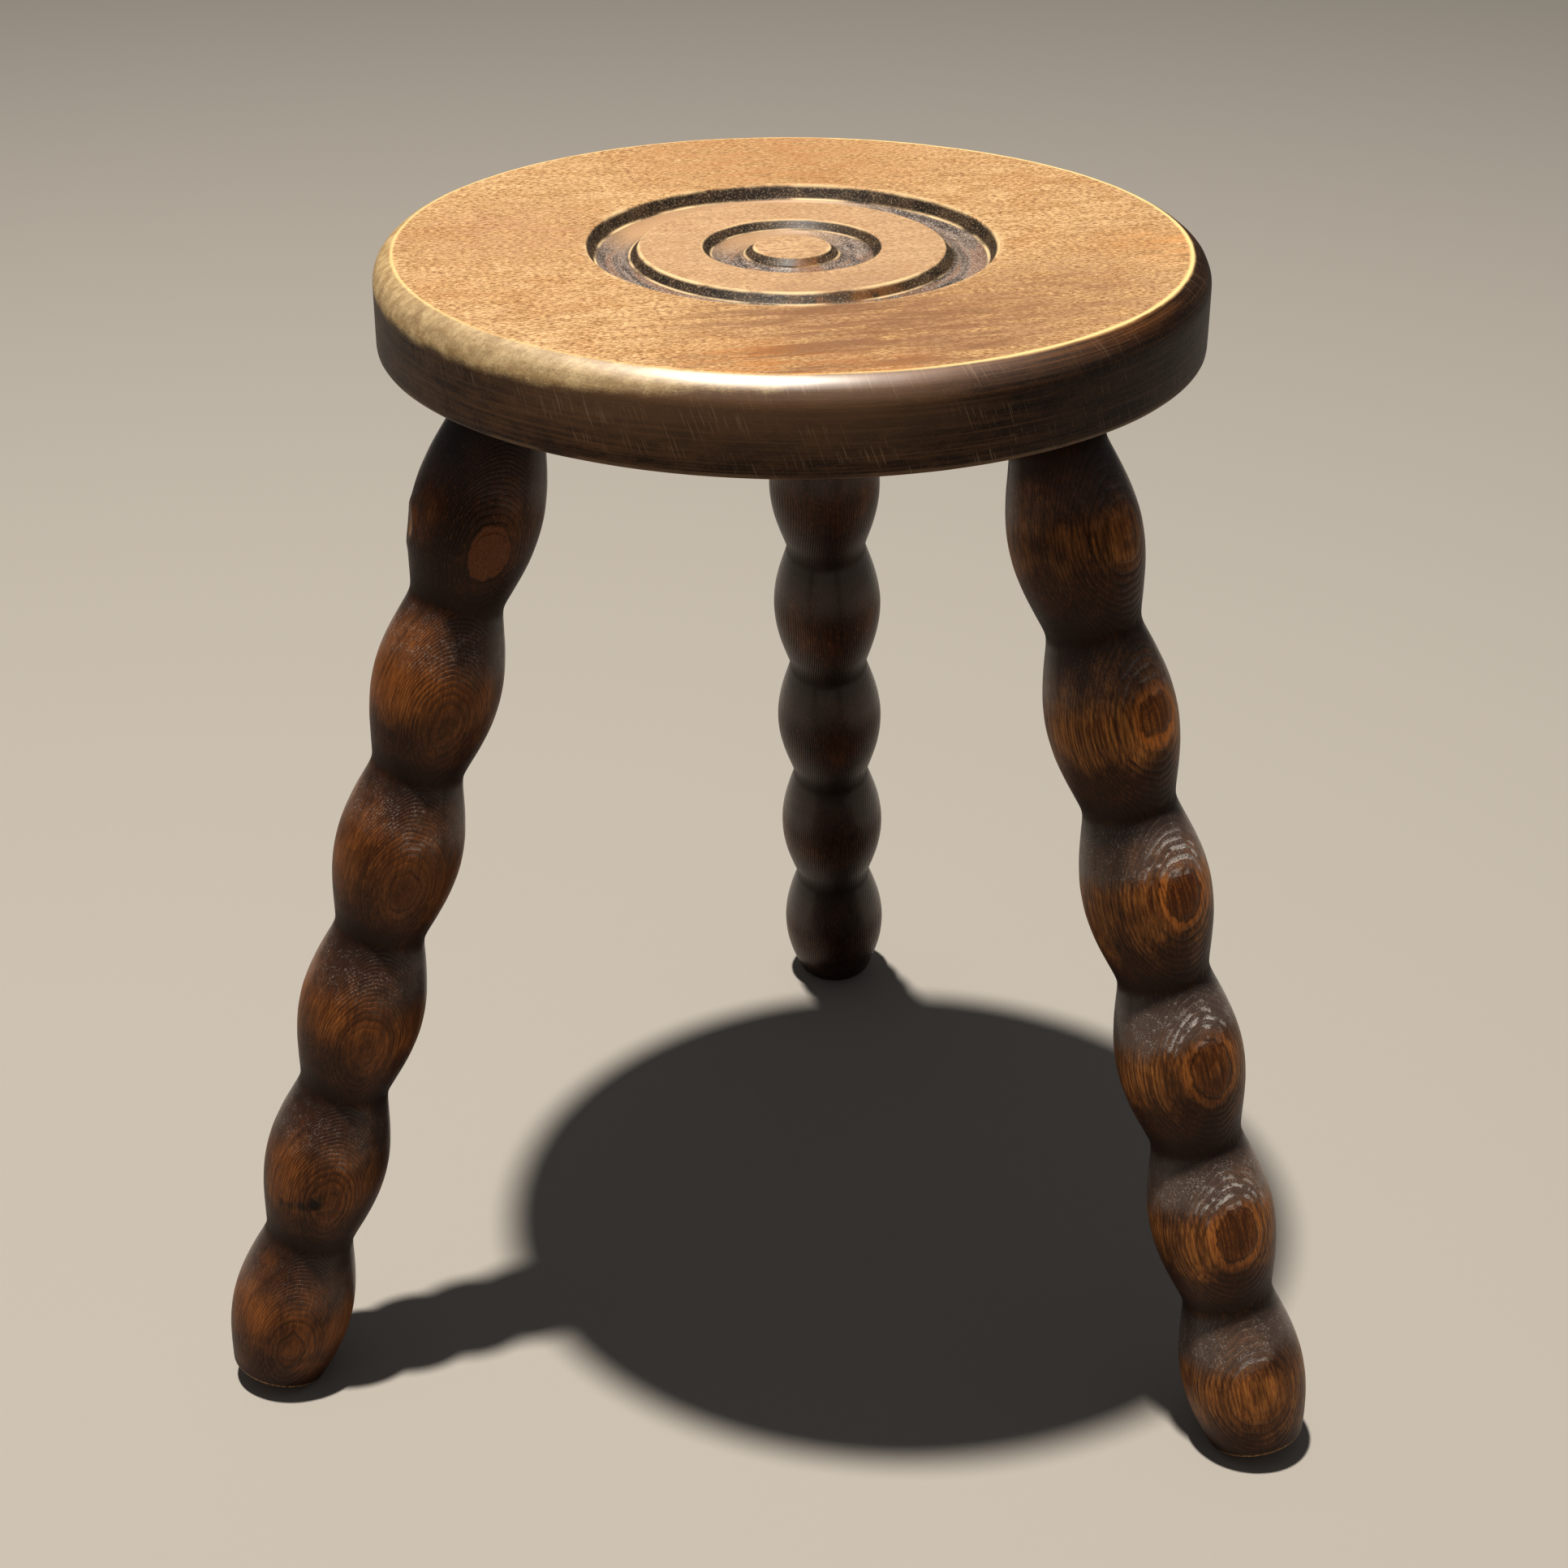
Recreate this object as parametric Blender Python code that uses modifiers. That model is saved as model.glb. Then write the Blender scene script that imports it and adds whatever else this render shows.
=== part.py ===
"""Three-legged wooden milking stool: a round turned seat on three splayed, bead-turned legs.

Metres, +Z up. The floor is Z = 0 and the back leg points along +Y. The seat's centre line stands
a little in front of the origin, which is on the floor in the middle of the stool's box.
"""
import math

import bpy
from mathutils import Euler, Vector

# Seat
SEAT_DIAMETER = 0.300
SEAT_THICKNESS = 0.033
SEAT_HEIGHT = 0.440
EDGE_WIDTH = 0.007          # worn round-over of the top edge, across
EDGE_DROP = 0.010           # and down
UNDER_EDGE = 0.002          # eased lower edge
SEAT_SIDES = 72

# Ring recesses turned in the top: radii, and depths below the top
OUTER_RING_OUTSIDE = 0.074
OUTER_RING_INSIDE = 0.055
INNER_RING_OUTSIDE = 0.0325
INNER_RING_INSIDE = 0.0135
WALL_SLOPE = 0.003          # how far each ring wall leans in
MEDALLION_DROP = 0.0015     # flat land between the two rings
BUTTON_DROP = 0.0020        # small flat disc in the middle
OUTER_RING_DEPTH = 0.0055
INNER_RING_DEPTH = 0.0050
FLOOR_DISH = 0.0015         # ring floors are slightly hollow

# Legs
LEG_COUNT = 3
LEG_NAMES = ("leg_back", "leg_front_left", "leg_front_right")
BACK_LEG_ANGLE = math.radians(90)
TOP_REACH = 0.108           # leg axis to seat axis, at the seat's underside
FOOT_REACH = 0.226          # the same at the floor
BEAD_COUNT = 6
BEAD_LENGTH = 0.0675
BEAD_DIAMETER = 0.0475
WAIST_DIAMETER = 0.0345
WAIST_SOFTNESS = 0.12       # 0 gives sharp V waists
FOOT_WEAR = 0.0008          # each foot's inner edge is worn flat by this much
FOOT_EDGE = 0.001
BEAD_STEPS = 6
LEG_SIDES = 24

# Joint between leg and seat: a blind round mortise
TENON_DIAMETER = 0.028
TENON_DEPTH = 0.024
TENON_CHAMFER = 0.001
FIT_GAP = 0.0003
MORTISE_SIDES = 32

SEAT_RADIUS = SEAT_DIAMETER / 2
UNDERSIDE = SEAT_HEIGHT - SEAT_THICKNESS
SPLAY = math.atan2(FOOT_REACH - TOP_REACH, UNDERSIDE)
LEG_TO_UNDERSIDE = UNDERSIDE / math.cos(SPLAY)      # along the leg axis, from the floor


def clear_scene():
    for obj in list(bpy.data.objects):
        bpy.data.objects.remove(obj, do_unlink=True)


def new_collection(name):
    collection = bpy.data.collections.new(name)
    bpy.context.scene.collection.children.link(collection)
    return collection


def wood(name, color, roughness):
    material = bpy.data.materials.new(name)
    material.use_nodes = True
    shader = material.node_tree.nodes["Principled BSDF"]
    shader.inputs["Base Color"].default_value = (*color, 1.0)
    shader.inputs["Roughness"].default_value = roughness
    shader.inputs["Metallic"].default_value = 0.0
    return material


def turned(name, profile, sides, collection, material=None):
    """A solid of revolution about local Z, from (radius, height) points that run top to bottom."""
    mesh = bpy.data.meshes.new(name)
    points = [(radius, 0.0, height) for radius, height in profile]
    edges = [(i, i + 1) for i in range(len(points) - 1)]
    mesh.from_pydata(points, edges, [])
    obj = bpy.data.objects.new(name, mesh)
    collection.objects.link(obj)
    if material is not None:
        mesh.materials.append(material)
    screw = obj.modifiers.new("turned", "SCREW")
    screw.axis = "Z"
    screw.angle = math.tau
    screw.steps = sides
    screw.render_steps = sides
    screw.use_merge_vertices = True
    screw.merge_threshold = 0.00002
    screw.use_smooth_shade = True
    return obj


def cut(obj, cutter):
    boolean = obj.modifiers.new("cut by " + cutter.name, "BOOLEAN")
    boolean.operation = "DIFFERENCE"
    boolean.solver = "EXACT"
    boolean.object = cutter


def hide_cutter(obj):
    obj.hide_render = True
    obj.display_type = "WIRE"


def ring_recess(outside, inside, outside_drop, inside_drop, depth):
    """Profile of one ring recess, from its outer edge in to its inner edge, as (radius, drop)."""
    outer_foot = outside - WALL_SLOPE
    inner_foot = inside + WALL_SLOPE
    middle = (outer_foot + inner_foot) / 2
    return [
        (outside, outside_drop),
        (outer_foot, depth),
        (middle, depth + FLOOR_DISH),
        (inner_foot, depth),
        (inside, inside_drop),
    ]


def seat_profile():
    """Half section of the seat, top centre to bottom centre, heights from the underside."""
    inner = ring_recess(INNER_RING_OUTSIDE, INNER_RING_INSIDE, MEDALLION_DROP, BUTTON_DROP, INNER_RING_DEPTH)
    outer = ring_recess(OUTER_RING_OUTSIDE, OUTER_RING_INSIDE, 0.0, MEDALLION_DROP, OUTER_RING_DEPTH)
    top = [(0.0, BUTTON_DROP)] + inner[::-1] + outer[::-1]
    profile = [(radius, SEAT_THICKNESS - drop) for radius, drop in top]

    edge_steps = 6
    for i in range(edge_steps + 1):
        turn = math.pi / 2 * i / edge_steps
        radius = SEAT_RADIUS - EDGE_WIDTH * (1 - math.sin(turn))
        height = SEAT_THICKNESS - EDGE_DROP * (1 - math.cos(turn))
        profile.append((radius, height))

    under_steps = 2
    for i in range(under_steps + 1):
        turn = math.pi / 2 * i / under_steps
        radius = SEAT_RADIUS - UNDER_EDGE * (1 - math.cos(turn))
        height = UNDER_EDGE * (1 - math.sin(turn))
        profile.append((radius, height))
    profile.append((0.0, 0.0))
    return profile


def bead_radius(along):
    """Leg radius at a distance along its axis from the floor: soft-waisted elongated beads."""
    wave = abs(math.sin(math.pi * along / BEAD_LENGTH))
    soft = WAIST_SOFTNESS
    bulge = (math.hypot(wave, soft) - soft) / (math.hypot(1.0, soft) - soft)
    return (WAIST_DIAMETER + (BEAD_DIAMETER - WAIST_DIAMETER) * bulge) / 2


def foot_cut():
    """Where the foot is sawn off square to the leg, so that its inner edge just passes the floor."""
    along = 0.0
    for _ in range(20):
        along = (bead_radius(along) * math.sin(SPLAY) - FOOT_WEAR) / math.cos(SPLAY)
    return along


def leg_profile():
    """Half section of a leg, tenon end to foot, heights along its axis from the floor."""
    tenon = TENON_DIAMETER / 2
    tenon_top = LEG_TO_UNDERSIDE + TENON_DEPTH
    tenon_bottom = LEG_TO_UNDERSIDE - tenon * math.tan(SPLAY)
    foot = foot_cut()
    profile = [
        (0.0, tenon_top),
        (tenon - TENON_CHAMFER, tenon_top),
        (tenon, tenon_top - TENON_CHAMFER),
        (tenon, tenon_bottom),
    ]
    steps = BEAD_COUNT * BEAD_STEPS
    last = BEAD_COUNT * BEAD_LENGTH
    for i in range(steps):
        along = last * (1 - i / steps)
        profile.append((bead_radius(along), along))
    edge = bead_radius(foot)
    profile += [
        (bead_radius(foot + FOOT_EDGE), foot + FOOT_EDGE),
        (edge - FOOT_EDGE, foot),
        (0.0, foot),
    ]
    return profile


def place_on_leg_axis(obj, angle):
    obj.location = (FOOT_REACH * math.cos(angle), FOOT_REACH * math.sin(angle), 0.0)
    obj.rotation_euler = Euler((0.0, -SPLAY, angle), "XYZ")


def make_seat(parts):
    seat = turned("seat", seat_profile(), SEAT_SIDES, parts, wood("seat_wood", (0.46, 0.27, 0.13), 0.45))
    seat.location.z = UNDERSIDE
    return seat


def make_leg(name, angle, parts, material):
    leg = turned(name, leg_profile(), LEG_SIDES, parts, material)
    place_on_leg_axis(leg, angle)
    return leg


def make_mortise(name, angle, cutters):
    radius = TENON_DIAMETER / 2 + FIT_GAP
    top = LEG_TO_UNDERSIDE + TENON_DEPTH + FIT_GAP
    bottom = LEG_TO_UNDERSIDE - TENON_DIAMETER
    profile = [(0.0, top), (radius, top), (radius, bottom), (0.0, bottom)]
    cutter = turned(name, profile, MORTISE_SIDES, cutters)
    place_on_leg_axis(cutter, angle)
    hide_cutter(cutter)
    return cutter


def make_floor_cutter(cutters):
    size = 2 * (FOOT_REACH + BEAD_DIAMETER)
    bpy.ops.mesh.primitive_cube_add(size=size, location=(0.0, 0.0, -size / 2))
    cutter = bpy.context.object
    cutter.name = "floor_cutter"
    for collection in list(cutter.users_collection):
        collection.objects.unlink(cutter)
    cutters.objects.link(cutter)
    hide_cutter(cutter)
    return cutter


def middle_on_floor(solids):
    """Middle of the box round the evaluated solids, dropped to the floor."""
    bpy.context.view_layer.update()
    graph = bpy.context.evaluated_depsgraph_get()
    points = []
    for obj in solids:
        solid = obj.evaluated_get(graph)
        points += [solid.matrix_world @ vertex.co for vertex in solid.data.vertices]
    xs = [point.x for point in points]
    ys = [point.y for point in points]
    return Vector(((min(xs) + max(xs)) / 2, (min(ys) + max(ys)) / 2, 0.0))


def main():
    clear_scene()
    parts = new_collection("milking_stool")
    cutters = new_collection("cutters")
    frame = bpy.data.objects.new("stool_frame", None)
    parts.objects.link(frame)

    seat = make_seat(parts)
    floor_cutter = make_floor_cutter(cutters)
    leg_wood = wood("leg_wood", (0.085, 0.035, 0.016), 0.35)
    legs = []
    mortises = []
    for i, name in enumerate(LEG_NAMES):
        angle = BACK_LEG_ANGLE + math.tau * i / LEG_COUNT
        leg = make_leg(name, angle, parts, leg_wood)
        cut(leg, floor_cutter)
        mortise = make_mortise("mortise_for_" + name, angle, cutters)
        cut(seat, mortise)
        legs.append(leg)
        mortises.append(mortise)

    middle = middle_on_floor([seat] + legs)
    for obj in [seat, floor_cutter] + legs + mortises:
        obj.parent = frame
    frame.location = -middle


main()
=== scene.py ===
"""Looks of the wooden milking stool: a worn, turned seat on three dark, bead-turned legs.

Each CAD solid is replaced by a finer turned mesh of the same size, in the same place. The wood is
a solid texture: growth rings about a pith line, so that the figure runs through every surface.
"""
import math

import bpy
import numpy as np
from mathutils import Euler, Matrix, Vector, noise


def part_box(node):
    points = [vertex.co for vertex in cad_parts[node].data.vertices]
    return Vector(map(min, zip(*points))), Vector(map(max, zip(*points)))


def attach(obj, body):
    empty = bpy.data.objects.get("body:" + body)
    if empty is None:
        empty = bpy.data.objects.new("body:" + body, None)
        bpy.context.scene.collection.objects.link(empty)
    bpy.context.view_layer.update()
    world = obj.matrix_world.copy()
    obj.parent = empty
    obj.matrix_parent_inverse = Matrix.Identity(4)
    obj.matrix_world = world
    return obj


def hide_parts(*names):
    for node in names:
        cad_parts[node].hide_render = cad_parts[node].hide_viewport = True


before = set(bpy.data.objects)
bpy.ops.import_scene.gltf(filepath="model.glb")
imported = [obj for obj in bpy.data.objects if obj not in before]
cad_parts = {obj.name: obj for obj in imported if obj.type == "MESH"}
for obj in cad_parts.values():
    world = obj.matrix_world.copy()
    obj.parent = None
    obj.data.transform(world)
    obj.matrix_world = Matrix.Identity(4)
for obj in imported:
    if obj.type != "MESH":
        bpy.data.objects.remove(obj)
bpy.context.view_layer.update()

# Sizes in metres. The seat's place comes from model.glb; the rest repeats the CAD design.
SEAT_LOW, SEAT_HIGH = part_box("seat")
SEAT_AXIS = (SEAT_LOW + SEAT_HIGH) / 2
SEAT_RADIUS = (SEAT_HIGH.x - SEAT_LOW.x) / 2
SEAT_THICKNESS = SEAT_HIGH.z - SEAT_LOW.z
UNDERSIDE = SEAT_LOW.z
EDGE_WIDTH = 0.007
EDGE_DROP = 0.010
UNDER_EDGE = 0.002
OUTER_RING = (0.074, 0.055, 0.0, 0.0015, 0.0055)        # outside, inside, their drops, depth
INNER_RING = (0.0325, 0.0135, 0.0015, 0.0020, 0.0050)
WALL_SLOPE = 0.003
FLOOR_DISH = 0.0015
QUIRK = 0.0006              # small step between a ring's wall and its hollow floor
RING_LAND = 0.0009          # narrow land on that step
LIP_ROUND = 0.0007          # rounding of a ring's upper edges
FOOT_ROUND = 0.0003         # rounding at the foot of its walls
ARRIS_ROUND = 0.0005        # rounding of the edge between the flat and the round-over
ARRIS_TURN = math.radians(24)       # slope at which the round-over meets the flat
SEAT_SIDES = 512
SIDE_SINK = 0.00015         # keeps the uneven side inside the CAD size

TOP_REACH = 0.108
FOOT_REACH = 0.226
SPLAY = math.atan2(FOOT_REACH - TOP_REACH, UNDERSIDE)
LEG_TO_UNDERSIDE = UNDERSIDE / math.cos(SPLAY)
BEAD_COUNT = 6
BEAD_LENGTH = 0.0675
BEAD_DIAMETER = 0.0475
WAIST_DIAMETER = 0.0345
WAIST_SOFTNESS = 0.12
FOOT_WEAR = 0.0008
FOOT_EDGE = 0.0012
TENON_RADIUS = 0.014
TENON_DEPTH = 0.024
FIT_GAP = 0.0003
MORTISE_OVERRUN = 0.02      # how far the mortise cutters start below the underside
MORTISE_SIDES = 48
LEG_SIDES = 112
LEG_STEPS = 40              # rows of faces along each bead
LEG_PROUD = 0.00008         # the most that the uneven wood stands above the CAD's surface
SMOOTH_NECK = 0.012         # length under the seat that stays even
LONGEST_FACE = 0.003
MM = 1000                   # the wood's patterns are in millimetres


# ---------------------------------------------------------------- turned meshes

def soften(corners, steps=4):
    """Outline through (radius, height, rounding) corners, each corner replaced by a small arc."""
    points = []
    for i, (r, z, rounding) in enumerate(corners):
        here = Vector((r, z))
        if rounding == 0 or i in (0, len(corners) - 1):
            points.append(here)
            continue
        back = Vector(corners[i - 1][:2]) - here
        ahead = Vector(corners[i + 1][:2]) - here
        start = here + back.normalized() * min(rounding, back.length * 0.49)
        end = here + ahead.normalized() * min(rounding, ahead.length * 0.49)
        for k in range(steps + 1):
            t = k / steps
            points.append(start * (1 - t) ** 2 + here * 2 * t * (1 - t) + end * t ** 2)
    return points


def fill_in(points, longest):
    """The same outline with extra points, so that no step along it is longer than asked."""
    filled = [points[0]]
    for a, b in zip(points, points[1:]):
        count = max(1, math.ceil((b - a).length / longest))
        filled += [a.lerp(b, (k + 1) / count) for k in range(count)]
    return filled


def lathe(name, outline, sides):
    """Closed mesh of revolution about Z from an outline that starts and ends on the axis."""
    outline = np.array([tuple(p) for p in outline], float)
    rings = outline[1:-1]
    angle = np.arange(sides) * math.tau / sides
    x = rings[:, :1] * np.cos(angle)
    y = rings[:, :1] * np.sin(angle)
    z = np.repeat(rings[:, 1:], sides, axis=1)
    verts = np.stack([x, y, z], axis=-1).reshape(-1, 3)
    top = len(verts)
    bottom = top + 1
    verts = np.vstack([verts, [(0, 0, outline[0, 1]), (0, 0, outline[-1, 1])]])
    here = np.arange(sides)
    after = (here + 1) % sides
    last = (len(rings) - 1) * sides
    faces = []
    for row in range(len(rings) - 1):
        a = row * sides
        b = a + sides
        faces += np.stack([a + here, b + here, b + after, a + after], axis=1).tolist()
    faces += [(top, a, b) for a, b in zip(here.tolist(), after.tolist())]
    faces += [(bottom, last + b, last + a) for a, b in zip(here.tolist(), after.tolist())]
    mesh = bpy.data.meshes.new(name)
    mesh.from_pydata(verts.tolist(), [], faces)
    mesh.validate()
    obj = bpy.data.objects.new(name, mesh)
    bpy.context.scene.collection.objects.link(obj)
    mesh.shade_smooth()
    return obj


def coordinates(obj):
    co = np.empty(len(obj.data.vertices) * 3)
    obj.data.vertices.foreach_get("co", co)
    return co.reshape(-1, 3)


def set_coordinates(obj, co):
    obj.data.vertices.foreach_set("co", co.ravel())
    obj.data.update()


def normals(obj):
    n = np.empty(len(obj.data.vertices) * 3, np.float32)
    obj.data.vertex_normals.foreach_get("vector", n)
    return n.reshape(-1, 3).astype(float)


def waviness(co, size, seed):
    """Smooth noise from -1 to 1 at each point, with features of about the given size."""
    shift = Vector((seed, seed * 1.7, -seed))
    return np.array([noise.noise(Vector(p) / size + shift) for p in co])


def unevenness(co, waves, seed):
    """Sum of several waves of (height, size, seed), for wood that isn't quite true."""
    return sum(height * waviness(co, size, seed + own) for height, size, own in waves)


def dent(co, normal, centre, radius, depth):
    """Presses a small hollow into the surface, with a faint raised lip round it."""
    near = np.linalg.norm(co - np.array(centre), axis=1) / radius
    hollow = np.exp(-(near * 1.6) ** 2) - 0.25 * np.exp(-((near - 1.25) * 3) ** 2)
    return co - normal * (depth * hollow)[:, None]


# ---------------------------------------------------------------- node trees

class Tree:
    """Short names for building one material's nodes. Arguments are sockets or plain values."""

    def __init__(self, name):
        self.material = bpy.data.materials.new(name)
        self.material.use_nodes = True
        self.nodes = self.material.node_tree.nodes
        self.links = self.material.node_tree.links
        self.shader = self.nodes["Principled BSDF"]

    def put(self, socket, value):
        if isinstance(value, bpy.types.NodeSocket):
            self.links.new(value, socket)
        elif isinstance(value, (tuple, list)) and len(value) == 3 and len(socket.default_value) == 4:
            socket.default_value = (*value, 1.0)
        else:
            socket.default_value = value

    def math(self, operation, *values):
        node = self.nodes.new("ShaderNodeMath")
        node.operation = operation
        for socket, value in zip(node.inputs, values):
            self.put(socket, value)
        return node.outputs[0]

    def add(self, a, b):
        return self.math("ADD", a, b)

    def sub(self, a, b):
        return self.math("SUBTRACT", a, b)

    def mul(self, a, b):
        return self.math("MULTIPLY", a, b)

    def top(self, a, b):
        return self.math("MAXIMUM", a, b)

    def step(self, value, low, high):
        """0 below low, 1 above high, smooth between; low above high turns it round."""
        node = self.nodes.new("ShaderNodeMapRange")
        node.interpolation_type = "SMOOTHSTEP"
        flip = not isinstance(low, bpy.types.NodeSocket) and low > high
        self.put(node.inputs["Value"], value)
        self.put(node.inputs["From Min"], high if flip else low)
        self.put(node.inputs["From Max"], low if flip else high)
        node.inputs["To Min"].default_value = 1.0 if flip else 0.0
        node.inputs["To Max"].default_value = 0.0 if flip else 1.0
        return node.outputs["Result"]

    def mix(self, factor, a, b):
        """Colour a where the factor is 0, colour b where it is 1."""
        node = self.nodes.new("ShaderNodeMix")
        node.data_type = "RGBA"
        self.put(node.inputs[0], factor)
        self.put(node.inputs[6], a)         # 6 and 7 are the colour sockets, and 2 their result
        self.put(node.inputs[7], b)
        return node.outputs[2]

    def position(self):
        return self.nodes.new("ShaderNodeTexCoord").outputs["Object"]

    def parts(self, vector):
        node = self.nodes.new("ShaderNodeSeparateXYZ")
        self.put(node.inputs[0], vector)
        return node.outputs[0], node.outputs[1], node.outputs[2]

    def join(self, x, y, z):
        node = self.nodes.new("ShaderNodeCombineXYZ")
        for socket, value in zip(node.inputs, (x, y, z)):
            self.put(socket, value)
        return node.outputs[0]

    def stretch(self, vector, scale=(1, 1, 1), turn=(0, 0, 0), shift=(0, 0, 0)):
        node = self.nodes.new("ShaderNodeMapping")
        self.put(node.inputs["Vector"], vector)
        node.inputs["Location"].default_value = shift
        node.inputs["Rotation"].default_value = turn
        node.inputs["Scale"].default_value = scale
        return node.outputs[0]

    def noise(self, vector, scale=1.0, detail=2.0, rough=0.5, warp=0.0):
        node = self.nodes.new("ShaderNodeTexNoise")
        self.put(node.inputs["Vector"], vector)
        node.inputs["Scale"].default_value = scale
        node.inputs["Detail"].default_value = detail
        node.inputs["Roughness"].default_value = rough
        node.inputs["Distortion"].default_value = warp
        return node.outputs["Fac"]

    def band(self, value, low, high, soft):
        """1 between two limits, fading over a width at each end."""
        up = self.step(value, low - soft, low + soft)
        down = self.step(value, high + soft, high - soft)
        return self.mul(up, down)

    def line(self, value, place, half_width):
        """1 at a place, fading to 0 at half_width each side."""
        off = self.math("ABSOLUTE", self.sub(value, place))
        return self.step(off, half_width, half_width * 0.25)

    def length(self, x, y):
        return self.math("SQRT", self.add(self.mul(x, x), self.mul(y, y)))

    def near(self, vector, centre, low, high):
        """1 inside distance low of a point, 0 beyond distance high."""
        node = self.nodes.new("ShaderNodeVectorMath")
        node.operation = "DISTANCE"
        self.put(node.inputs[0], vector)
        node.inputs[1].default_value = centre
        return self.step(node.outputs["Value"], high, low)

    def bump(self, height, distance, strength=1.0):
        node = self.nodes.new("ShaderNodeBump")
        node.inputs["Distance"].default_value = distance
        node.inputs["Strength"].default_value = strength
        self.put(node.inputs["Height"], height)
        return node.outputs["Normal"]

    def finish(self, color, roughness, normal, coat):
        self.put(self.shader.inputs["Base Color"], color)
        self.put(self.shader.inputs["Roughness"], roughness)
        self.put(self.shader.inputs["Normal"], normal)
        self.put(self.shader.inputs["Coat Weight"], coat)
        return self.material


def ring_lines(tree, distance, spacing):
    """Dark latewood lines, 0 to 1, from a distance to the pith: a slow rise, then a sharp fall."""
    phase = tree.math("FRACT", tree.math("DIVIDE", distance, spacing))
    rise = tree.step(phase, 0.25, 0.85)
    fall = tree.step(phase, 1.0, 0.88)
    return tree.mul(rise, fall)


def srgb(red, green, blue):
    """Linear colour from the 0 to 255 values a colour picker shows."""
    values = [v / 255 for v in (red, green, blue)]
    return tuple(v / 12.92 if v <= 0.04045 else ((v + 0.055) / 1.055) ** 2.4 for v in values)


# ---------------------------------------------------------------- seat

def ring_outline(ring):
    """Corners of one ring recess, outer edge first: wall, narrow land, hollow floor, land, wall."""
    outside, inside, outside_drop, inside_drop, depth = ring
    top = SEAT_THICKNESS
    foot_out = outside - WALL_SLOPE
    foot_in = inside + WALL_SLOPE
    low = foot_in + RING_LAND
    high = foot_out - RING_LAND
    floor = top - depth
    wall_foot = floor + QUIRK
    land_edge = floor + QUIRK * 0.7
    rim = floor + QUIRK * 0.4           # where the hollow begins
    corners = [
        (outside, top - outside_drop, LIP_ROUND),
        (foot_out, wall_foot, FOOT_ROUND),
        (high, land_edge, FOOT_ROUND),
    ]
    steps = 10
    for i in range(1, steps):
        across = 1 - 2 * i / steps
        radius = (low + high) / 2 + across * (high - low) / 2
        hollow = (FLOOR_DISH + QUIRK * 0.4) * (1 - across ** 2)
        corners.append((radius, rim - hollow, 0.0))
    corners += [
        (low, land_edge, FOOT_ROUND),
        (foot_in, wall_foot, FOOT_ROUND),
        (inside, top - inside_drop, LIP_ROUND),
    ]
    return corners


def seat_outline():
    """Half section of the seat: ring recesses, round-over, side and underside."""
    top = SEAT_THICKNESS
    middle = ring_outline(OUTER_RING) + ring_outline(INNER_RING)
    corners = [(0.0, top - INNER_RING[3], 0.0)] + middle[::-1]
    start = ARRIS_TURN
    steps = 14
    for i in range(steps + 1):
        turn = start + (math.pi / 2 - start) * i / steps
        across = (1 - math.sin(turn)) / (1 - math.sin(start))
        down = (math.cos(start) - math.cos(turn)) / math.cos(start)
        rounding = ARRIS_ROUND if i == 0 else 0.0
        corners.append((SEAT_RADIUS - EDGE_WIDTH * across, top - EDGE_DROP * down, rounding))
    corners.append((SEAT_RADIUS, 0.0, UNDER_EDGE))
    corners.append((0.0, 0.0, 0.0))
    return fill_in(soften(corners), LONGEST_FACE)


def leg_matrix(angle):
    """Places a leg: its axis is local Z from the floor point up, and local X points outward."""
    x = SEAT_AXIS.x + FOOT_REACH * math.cos(angle)
    y = SEAT_AXIS.y + FOOT_REACH * math.sin(angle)
    lean = Euler((0.0, -SPLAY, angle), "XYZ").to_matrix().to_4x4()
    return Matrix.Translation((x, y, 0.0)) @ lean


def cut_mortises(seat):
    """Blind holes under the seat for the three leg tenons."""
    radius = TENON_RADIUS + FIT_GAP
    top = LEG_TO_UNDERSIDE + TENON_DEPTH + FIT_GAP
    bottom = LEG_TO_UNDERSIDE - MORTISE_OVERRUN
    outline = [(0.0, top), (radius, top), (radius, bottom), (0.0, bottom)]
    for angle in LEG_ANGLES.values():
        cutter = lathe("mortise", outline, MORTISE_SIDES)
        cutter.matrix_world = leg_matrix(angle)
        boolean = seat.modifiers.new("mortise", "BOOLEAN")
        boolean.operation = "DIFFERENCE"
        boolean.solver = "EXACT"
        boolean.object = cutter
        bpy.context.view_layer.update()
        with bpy.context.temp_override(object=seat, active_object=seat):
            bpy.ops.object.modifier_apply(modifier="mortise")
        bpy.data.objects.remove(cutter, do_unlink=True)


def make_seat():
    seat = lathe("seat_turned", seat_outline(), SEAT_SIDES)
    co = coordinates(seat)
    out = normals(seat)
    depth = unevenness(co, SEAT_WAVES, 0.0)
    on_side = np.hypot(co[:, 0], co[:, 1]) >= SEAT_RADIUS - 0.0015
    depth = depth - on_side * SIDE_SINK
    co = co + out * depth[:, None]
    for angle, height, radius, deep in SEAT_DENTS:
        turn = math.radians(angle)
        centre = (SEAT_RADIUS * math.sin(turn), -SEAT_RADIUS * math.cos(turn), height)
        co = dent(co, out, centre, radius, deep)
    set_coordinates(seat, co)
    seat.location = (SEAT_AXIS.x, SEAT_AXIS.y, UNDERSIDE)
    bpy.context.view_layer.update()
    cut_mortises(seat)
    return seat


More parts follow.
